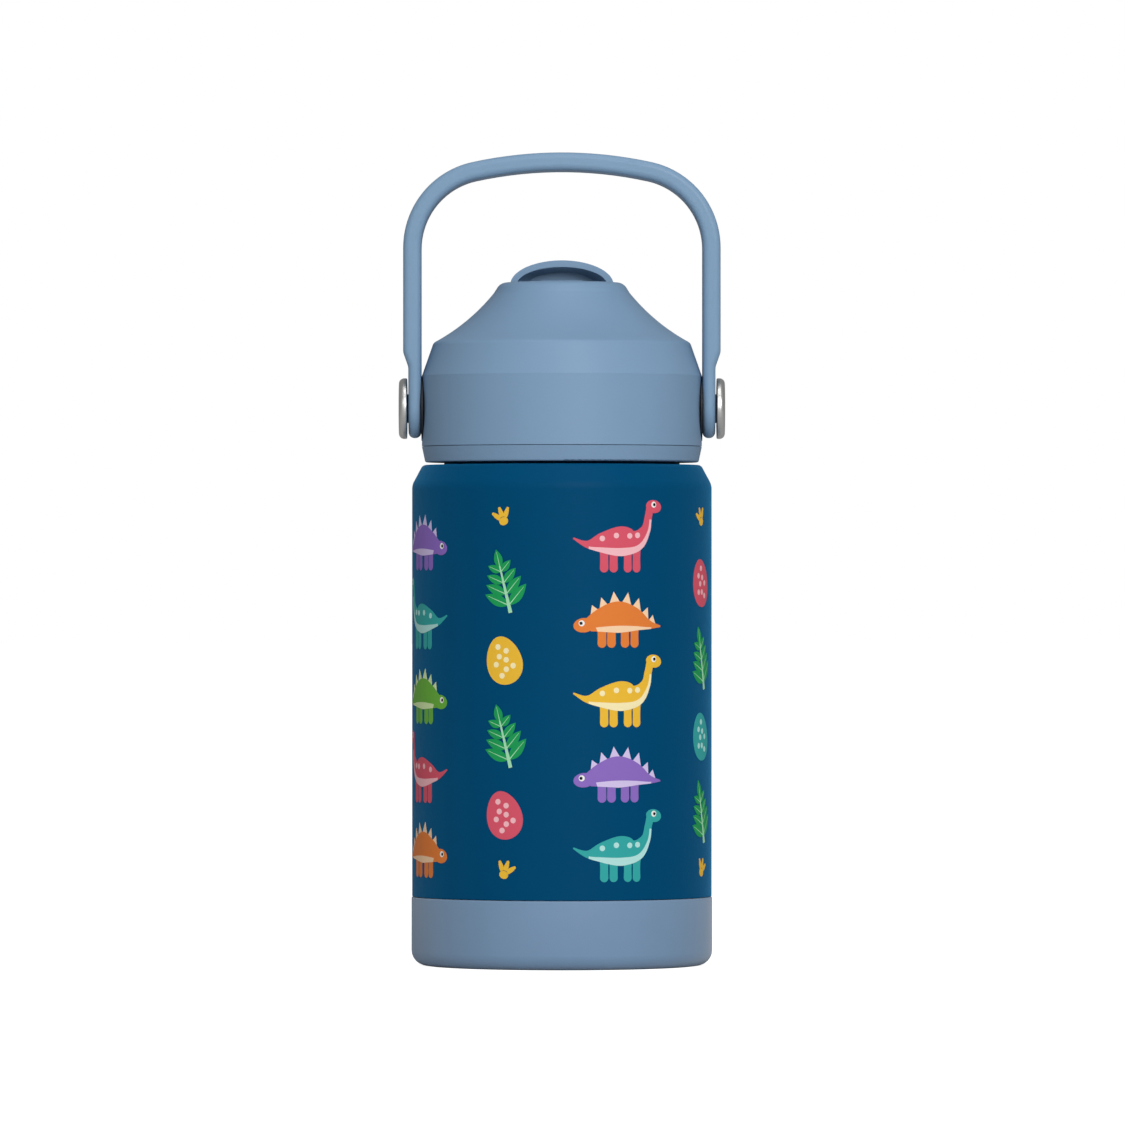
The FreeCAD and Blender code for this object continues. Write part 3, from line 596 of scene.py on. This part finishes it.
gasket_low, gasket_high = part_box("neck_gasket")
out, low, high = gasket_high.x / MM, gasket_low.z / MM, gasket_high.z / MM
deep = 3.1
lathe("soft_gasket", rounded(
    [(out, low), (out, high), (out - deep, high), (out - deep, low), (out - deep * 0.62, low),
     (out - deep * 0.5, low + 0.25), (out - deep * 0.38, low)],
    [0.2, 0.2, 0.2, 0.2, 0, 0, 0], 4), "seal", MILKY, "neck_gasket")


def loft(name, sections, body, material, node, around=40):
    """Flattened rounds (y, half width, half height), in mm, joined into one closed skin
    about the mouthpiece's axis."""
    points, faces = [], []
    for y, wide, high in sections:
        for k in range(around):
            a = math.tau * k / around
            c, s = math.cos(a), math.sin(a)
            x = high * c + math.copysign(wide - high, c) * min(1.0, abs(c) * 4)
            points.append((x * MM, y * MM, NOZZLE_HEIGHT + high * s * MM))
    last = len(sections) - 1
    for i in range(last):
        for k in range(around):
            j = (k + 1) % around
            a, b = i * around, (i + 1) * around
            faces.append((a + k, a + j, b + j, b + k))
    faces.append(tuple(reversed(range(around))))
    faces.append(tuple(last * around + k for k in range(around)))
    piece = add_piece(name, points, faces, body, [material])
    smooth(piece, 35)
    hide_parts(node)
    return piece


nozzle_low, nozzle_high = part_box("bite_nozzle")
NOZZLE_HEIGHT = (nozzle_low.z + nozzle_high.z) / 2
tip = nozzle_low.y / MM
# root in its socket, shoulder, waist, soft bulb of the tip, and the closed slit in its end
loft("soft_nozzle", [
    (5.45, 3.7, 1.5), (5.3, 3.85, 1.62), (2.6, 3.85, 1.62), (2.42, 4.1, 1.9), (2.2, 4.3, 2.15),
    (0.8, 4.35, 2.18), (0.3, 4.1, 1.95), (-0.2, 3.9, 1.80), (-2.0, 3.9, 1.80), (-2.6, 4.1, 1.95),
    (-3.6, 4.35, 2.16), (-6.6, 4.38, 2.18), (-7.8, 4.2, 2.0), (-8.5, 3.9, 1.65), (-8.9, 3.5, 1.2),
    (tip, 3.1, 0.8), (tip, 2.5, 0.25), (tip + 0.25, 2.4, 0.12), (tip + 1.4, 2.3, 0.08)],
    "mouthpiece", MILKY, "bite_nozzle")


# ------------------------------------------------------------------ finishes of the CAD pieces

NODE_FINISH = {
    "outer_shell": NAVY, "inner_vessel": FLASK_STEEL, "outer_base_cap": FLASK_STEEL,
    "vacuum_getter": FLASK_STEEL, "silicone_boot": BOOT_BLUE, "neck_gasket": MILKY,
    "lid_shell": LID_BLUE, "threaded_core": LID_BLUE, "straw_stem": LID_BLUE,
    "stem_seal": MILKY, "port_seal": MILKY, "vent_valve": MILKY, "drinking_straw": STRAW,
    "left_handle_pin": PIN_STEEL, "right_handle_pin": PIN_STEEL,
    "left_pin_retainer": PIN_STEEL, "right_pin_retainer": PIN_STEEL,
    "carry_handle": HANDLE_BLUE, "left_handle_bush": NYLON, "right_handle_bush": NYLON,
    "mouthpiece_hood": HOOD_BLUE_PAINTED_SHADE, "bite_nozzle": MILKY,
    "left_hinge_pin": PIN_STEEL, "right_hinge_pin": PIN_STEEL,
}
for node, material in NODE_FINISH.items():
    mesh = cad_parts[node].data
    mesh.materials.clear()
    mesh.materials.append(material)


# ------------------------------------------------------------------ floor, light and camera

def stage_material(name, value, glow):
    """White paper that also looks evenly lit to the camera."""
    finish = Finish(name)
    finish.set(Base_Color=(value, value, value, 1.0), Specular_IOR_Level=0.1,
               Emission_Color=(1.0, 1.0, 1.0, 1.0))
    finish.rough(0.85, 0.95, 0.2)
    seen = finish.nodes.new("ShaderNodeLightPath").outputs["Is Camera Ray"]
    finish.links.new(finish.ranged(seen, 0.0, glow, 0.0, 1.0),
                     finish.shader.inputs["Emission Strength"])
    return finish.material


floor_mesh = bpy.data.meshes.new("floor")
REACH = 12.0
floor_mesh.from_pydata([(-REACH, -REACH, 0), (REACH, -REACH, 0), (REACH, REACH, 0),
                        (-REACH, REACH, 0)], [], [(0, 1, 2, 3)])
floor_mesh.materials.append(stage_material("floor paper", 0.60, 0.92))
floor = bpy.data.objects.new("floor", floor_mesh)
bpy.context.scene.collection.objects.link(floor)
floor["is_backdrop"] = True

MIDDLE = Vector((0, 0, (cad_low.z + cad_high.z) / 2))


def softbox(name, place, size, power):
    """A square area light aimed at the middle of the bottle."""
    data = bpy.data.lights.new(name, "AREA")
    data.shape = "SQUARE"
    data.size = size
    data.energy = power
    light = bpy.data.objects.new(name, data)
    light.location = place
    light.rotation_euler = (MIDDLE - Vector(place)).to_track_quat("-Z", "Y").to_euler()
    bpy.context.scene.collection.objects.link(light)
    return light


softbox("key", (0.55, -2.0, 1.0), 0.8, 28)
softbox("fill", (-0.9, -1.9, 0.8), 0.8, 3)
softbox("top", (0.1, -0.5, 1.7), 0.9, 6)

world = bpy.data.worlds.new("studio")
bpy.context.scene.world = world
world.use_nodes = True
sky = world.node_tree.nodes["Background"]
sky.inputs["Color"].default_value = (1, 1, 1, 1)
path = world.node_tree.nodes.new("ShaderNodeLightPath")
dim = world.node_tree.nodes.new("ShaderNodeMapRange")
dim.inputs["To Min"].default_value = 0.27
dim.inputs["To Max"].default_value = 1.0
world.node_tree.links.new(path.outputs["Is Camera Ray"], dim.inputs["Value"])
world.node_tree.links.new(dim.outputs["Result"], sky.inputs["Strength"])
bpy.context.scene.view_settings.view_transform = "Standard"

# The camera stands level with the middle of the body, far back, with a long lens.
CAMERA_DISTANCE = 2.364
CAMERA_HEIGHT = 0.0936
FRAME_WIDTH = 0.2742          # width of the view at the bottle's axis
SENSOR = 36.0
camera_data = bpy.data.cameras.new("camera")
camera_data.sensor_width = SENSOR
camera_data.lens = SENSOR * CAMERA_DISTANCE / FRAME_WIDTH
camera_data.shift_y = 0.0164
camera = bpy.data.objects.new("camera", camera_data)
camera.location = (0.00015, -CAMERA_DISTANCE, CAMERA_HEIGHT)
camera.rotation_euler = (math.radians(90), 0, 0)
bpy.context.scene.collection.objects.link(camera)
bpy.context.scene.camera = camera

low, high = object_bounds()
